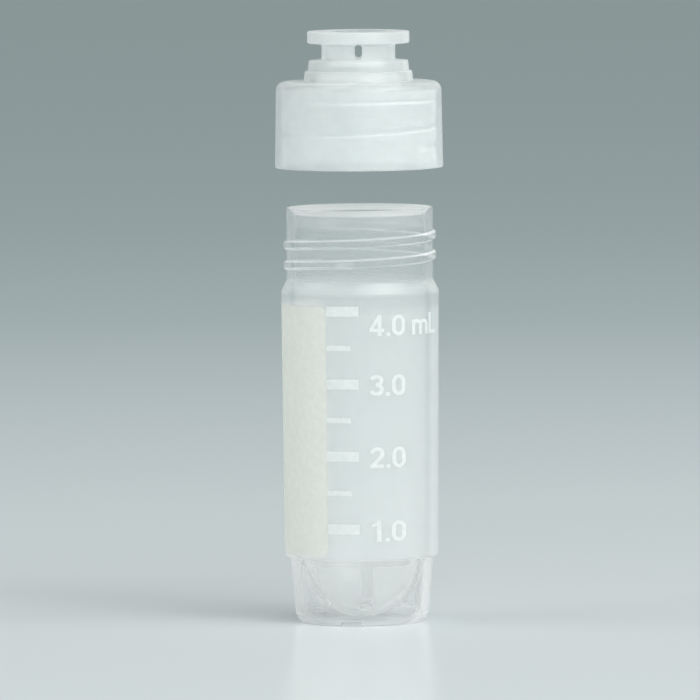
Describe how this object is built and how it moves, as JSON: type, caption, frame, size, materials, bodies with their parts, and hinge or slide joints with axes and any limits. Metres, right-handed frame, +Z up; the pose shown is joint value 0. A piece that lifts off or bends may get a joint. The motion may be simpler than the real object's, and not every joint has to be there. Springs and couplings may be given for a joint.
{
  "type": "cryogenic vial",
  "caption": "Translucent self-standing cryogenic vial with an external thread, a printed volume scale, a rounded inside bottom and a screw cap held open above its mouth.",
  "frame": {"origin": "on the vial's axis, on the surface that its foot stands on", "axes": "+Z up along the vial's axis, -Y towards the front, with the volume scale"},
  "size_m": [0.0168, 0.0168, 0.0591],
  "materials": {
    "tube_polypropylene": "translucent natural polypropylene, moulded with a satin skin",
    "cap_polypropylene": "milky natural polypropylene, moulded with a satin skin",
    "gasket_silicone": "soft translucent silicone, moulded",
    "white_print": "white marking ink, printed"
  },
  "bodies": {
    "tube": {"tube": "tube_polypropylene"},
    "gasket": {"gasket": "gasket_silicone"},
    "cap": {"cap": "cap_polypropylene"}
  },
  "joints": [
    {"name": "cap_lift", "type": "slide", "parent": "tube", "child": "gasket", "axis": [0, 0, 1], "range_m": [-0.011, 0]},
    {"name": "cap_turn", "type": "hinge", "parent": "gasket", "child": "cap", "pos_m": [0, 0, 0.0525], "axis": [0, 0, 1], "range_deg": [-1980, 0]}
  ],
  "couplings": [
    {"joint": "cap_turn", "follows": "cap_lift", "rad_per_m": 3141.6}
  ]
}
